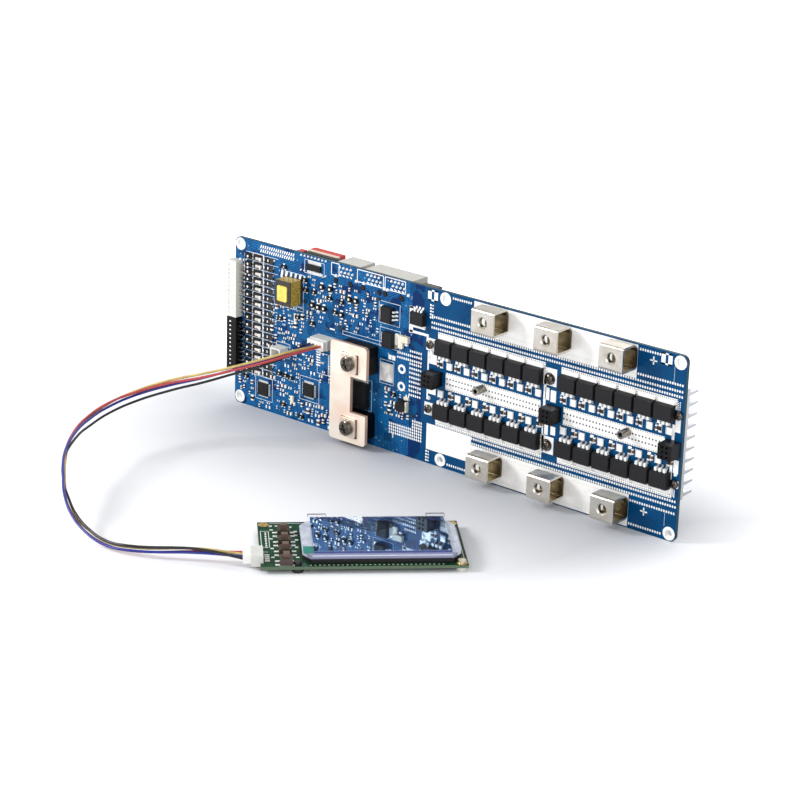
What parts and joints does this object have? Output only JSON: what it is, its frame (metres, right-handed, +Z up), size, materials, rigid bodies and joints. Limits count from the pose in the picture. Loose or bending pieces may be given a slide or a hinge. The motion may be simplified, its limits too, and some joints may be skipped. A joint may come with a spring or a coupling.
{
  "type": "battery management board",
  "caption": "Long circuit board for a battery pack, with power transistors, bolt terminals, a finned heat sink and a small plug-in display on a four-wire lead.",
  "frame": {"origin": "middle of the main board's lower edge, halfway through the board's thickness, on the surface the object stands on", "axes": "+X along the board towards its power end, -Y is the side that carries the components, +Z up the board"},
  "size_m": [0.3015, 0.2137, 0.0983],
  "materials": {
    "board_mask": "blue solder mask",
    "tinned_solder": "levelled solder",
    "terminal_plate": "tin plated, satin",
    "package_black": "moulded epoxy",
    "bar_copper": "pinkish copper",
    "post_black": "moulded",
    "screw_steel": "nickel plated",
    "header_white": "moulded nylon",
    "header_black": "moulded nylon",
    "pin_tin": "tinned",
    "chip_mixed": "ceramic chips",
    "ferrite": "ferrite",
    "coil_tape": "yellow tape",
    "plug_white": "moulded nylon",
    "wire_black": "soft insulation",
    "wire_blue": "soft insulation",
    "wire_yellow": "soft insulation",
    "wire_red": "soft insulation",
    "display_mask": "green solder mask",
    "frame_silver": "pale moulding",
    "screen_glass": "dark reflective glass",
    "cover_film": "clear sheet",
    "button_metal": "moulded",
    "button_cap": "moulded",
    "foot_nylon": "nylon",
    "sink_aluminium": "extruded, clear finish",
    "pad_blue": "soft pad",
    "jack_shell": "warm grey moulding",
    "switch_red": "red moulding",
    "slide_white": "moulded",
    "indicator_body": "moulded",
    "stud_metal": "plated"
  },
  "bodies": {
    "root": {"main_board": "board_mask", "tinned_tracks": "tinned_solder", "p_terminal_1": "terminal_plate", "p_terminal_2": "terminal_plate", "p_terminal_3": "terminal_plate", "b_terminal_1": "terminal_plate", "b_terminal_2": "terminal_plate", "b_terminal_3": "terminal_plate", "driver_transistors": "package_black", "mosfets_upper": "package_black", "mosfets_lower": "package_black", "link_bar": "bar_copper", "link_posts": "post_black", "link_screws": "screw_steel", "link_washers": "screw_steel", "sense_header_white": "header_white", "sense_header_black": "header_black", "header_pins": "pin_tin", "balance_transistors": "package_black", "chip_resistors": "chip_mixed", "small_transistors": "package_black", "transformer_core": "ferrite", "transformer_coil": "coil_tape", "flat_chips": "package_black", "lead_sockets": "header_white", "lead_plug": "plug_white", "wire_black": "wire_black", "wire_blue": "wire_blue", "wire_yellow": "wire_yellow", "wire_red": "wire_red", "display_plug": "plug_white", "display_header": "header_white", "display_board": "display_mask", "display_frame": "frame_silver", "display_glass": "screen_glass", "display_cover": "cover_film", "button_bodies": "button_metal", "display_feet": "foot_nylon", "heat_sink": "sink_aluminium", "thermal_pad": "pad_blue", "heat_sink_screws": "screw_steel", "network_jack_single": "jack_shell", "network_jack_double": "jack_shell", "address_switch": "switch_red", "address_switch_socket": "header_black", "indicators": "indicator_body", "box_headers": "header_black", "studs": "stud_metal"},
    "button_1": {"button_cap_1": "button_cap"},
    "button_2": {"button_cap_2": "button_cap"},
    "button_3": {"button_cap_3": "button_cap"},
    "button_4": {"button_cap_4": "button_cap"},
    "slider_1": {"address_slider_1": "slide_white"},
    "slider_2": {"address_slider_2": "slide_white"},
    "slider_3": {"address_slider_3": "slide_white"},
    "slider_4": {"address_slider_4": "slide_white"},
    "slider_5": {"address_slider_5": "slide_white"},
    "slider_6": {"address_slider_6": "slide_white"},
    "slider_7": {"address_slider_7": "slide_white"},
    "slider_8": {"address_slider_8": "slide_white"}
  },
  "joints": [
    {"name": "button_1_press", "type": "slide", "parent": "root", "child": "button_1", "axis": [0, 0, -1], "range_m": [0, 0.00025], "stiffness_N_per_m": 4000, "springref_m": -0.0002},
    {"name": "button_2_press", "type": "slide", "parent": "root", "child": "button_2", "axis": [0, 0, -1], "range_m": [0, 0.00025], "stiffness_N_per_m": 4000, "springref_m": -0.0002},
    {"name": "button_3_press", "type": "slide", "parent": "root", "child": "button_3", "axis": [0, 0, -1], "range_m": [0, 0.00025], "stiffness_N_per_m": 4000, "springref_m": -0.0002},
    {"name": "button_4_press", "type": "slide", "parent": "root", "child": "button_4", "axis": [0, 0, -1], "range_m": [0, 0.00025], "stiffness_N_per_m": 4000, "springref_m": -0.0002},
    {"name": "slider_1_slide", "type": "slide", "parent": "root", "child": "slider_1", "axis": [0, 0, 1], "range_m": [0, 0.002]},
    {"name": "slider_2_slide", "type": "slide", "parent": "root", "child": "slider_2", "axis": [0, 0, 1], "range_m": [0, 0.002]},
    {"name": "slider_3_slide", "type": "slide", "parent": "root", "child": "slider_3", "axis": [0, 0, 1], "range_m": [0, 0.002]},
    {"name": "slider_4_slide", "type": "slide", "parent": "root", "child": "slider_4", "axis": [0, 0, 1], "range_m": [0, 0.002]},
    {"name": "slider_5_slide", "type": "slide", "parent": "root", "child": "slider_5", "axis": [0, 0, 1], "range_m": [0, 0.002]},
    {"name": "slider_6_slide", "type": "slide", "parent": "root", "child": "slider_6", "axis": [0, 0, 1], "range_m": [0, 0.002]},
    {"name": "slider_7_slide", "type": "slide", "parent": "root", "child": "slider_7", "axis": [0, 0, 1], "range_m": [0, 0.002]},
    {"name": "slider_8_slide", "type": "slide", "parent": "root", "child": "slider_8", "axis": [0, 0, 1], "range_m": [0, 0.002]}
  ]
}
